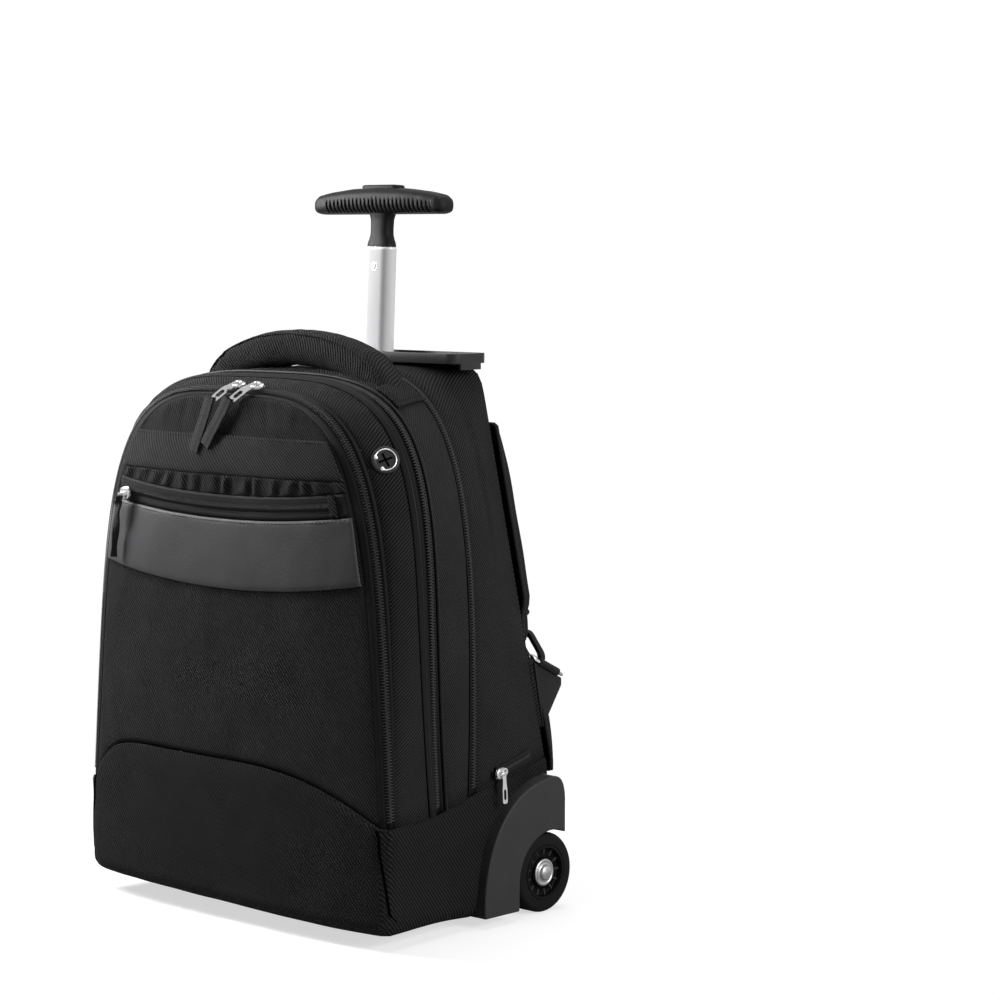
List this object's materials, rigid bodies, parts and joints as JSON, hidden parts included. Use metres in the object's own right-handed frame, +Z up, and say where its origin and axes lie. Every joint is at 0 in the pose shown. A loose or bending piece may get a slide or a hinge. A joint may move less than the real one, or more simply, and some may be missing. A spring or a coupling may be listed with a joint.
{
  "type": "wheeled backpack",
  "caption": "Wheeled backpack with arched zips, padded grab handle, telescopic pull handle, back pads, clipped-down shoulder straps and rear wheels in plastic housings.",
  "frame": {"origin": "centre of the bounding box on the floor, under the standing bag", "axes": "+Z up, -Y the front face with the bands, +X the side with the cable port"},
  "size_m": [0.3546, 0.2424, 0.5856],
  "materials": {
    "twill": "matt black twill",
    "base_twill": "matt black heavy twill",
    "leather": "smooth charcoal, satin",
    "zip_tape": "black woven tape and coil with a slight sheen",
    "piping": "black, semi-gloss",
    "plastic": "charcoal, fine grain",
    "soft_plastic": "black, satin",
    "aluminium": "satin anodised",
    "steel": "polished",
    "tyre": "matt",
    "rubber": "matt",
    "mesh": "black open mesh",
    "webbing": "matt black ribbed webbing"
  },
  "bodies": {
    "bag": {"front_panel": "twill", "front_gusset": "twill", "middle_gusset": "twill", "rear_section": "twill", "back_panel": "twill", "pleated_band": "twill", "grab_handle": "twill", "shoulder_strap_right": "twill", "shoulder_strap_left": "twill", "side_tab_right": "twill", "side_tab_left": "twill", "base_boot": "base_twill", "upper_band": "base_twill", "leather_band": "leather", "zip_front": "zip_tape", "zip_middle": "zip_tape", "zip_rear": "zip_tape", "pocket_zip": "zip_tape", "side_pocket_zip_right": "zip_tape", "side_pocket_zip_left": "zip_tape", "piping_front": "piping", "piping_rear": "piping", "top_plate": "plastic", "front_foot": "plastic", "wheel_housing_right": "plastic", "wheel_housing_left": "plastic", "ladder_lock_right": "soft_plastic", "ladder_lock_left": "soft_plastic", "snap_hook_right": "soft_plastic", "snap_hook_left": "soft_plastic", "outer_tube": "aluminium", "front_slider_left": "steel", "front_slider_right": "steel", "pocket_slider": "steel", "rear_slider": "steel", "axle_right": "steel", "axle_left": "steel", "tab_ring_right": "steel", "tab_ring_left": "steel", "side_pocket_slider_right": "steel", "side_pocket_slider_left": "steel", "cable_port": "rubber", "back_pad_right": "mesh", "back_pad_left": "mesh", "front_slider_left_pull": "webbing", "front_slider_right_pull": "webbing", "pocket_slider_pull": "webbing", "strap_webbing_right": "webbing", "strap_webbing_left": "webbing"},
    "stage": {"middle_tube": "aluminium"},
    "handle": {"inner_tube": "aluminium", "tube_rivet": "steel", "grip": "soft_plastic"},
    "button": {"grip_button": "soft_plastic"},
    "wheel_right": {"tyre_right": "tyre", "wheel_core_right": "soft_plastic"},
    "wheel_left": {"tyre_left": "tyre", "wheel_core_left": "soft_plastic"}
  },
  "joints": [
    {"name": "handle_stage", "type": "slide", "parent": "bag", "child": "stage", "axis": [0, 0.0471, 0.9989], "range_m": [0, 0.3]},
    {"name": "handle_slide", "type": "slide", "parent": "stage", "child": "handle", "axis": [0, 0.0471, 0.9989], "range_m": [-0.108, 0.19]},
    {"name": "grip_button", "type": "slide", "parent": "handle", "child": "button", "axis": [0, 0.0471, 0.9989], "range_m": [-0.003, 0], "stiffness_N_per_m": 400, "springref_m": 0.001},
    {"name": "wheel_spin_right", "type": "hinge", "parent": "bag", "child": "wheel_right", "pos_m": [0.158, 0.07861, 0.0325], "axis": [1, 0, 0], "continuous": true},
    {"name": "wheel_spin_left", "type": "hinge", "parent": "bag", "child": "wheel_left", "pos_m": [-0.158, 0.07861, 0.0325], "axis": [1, 0, 0], "continuous": true}
  ]
}
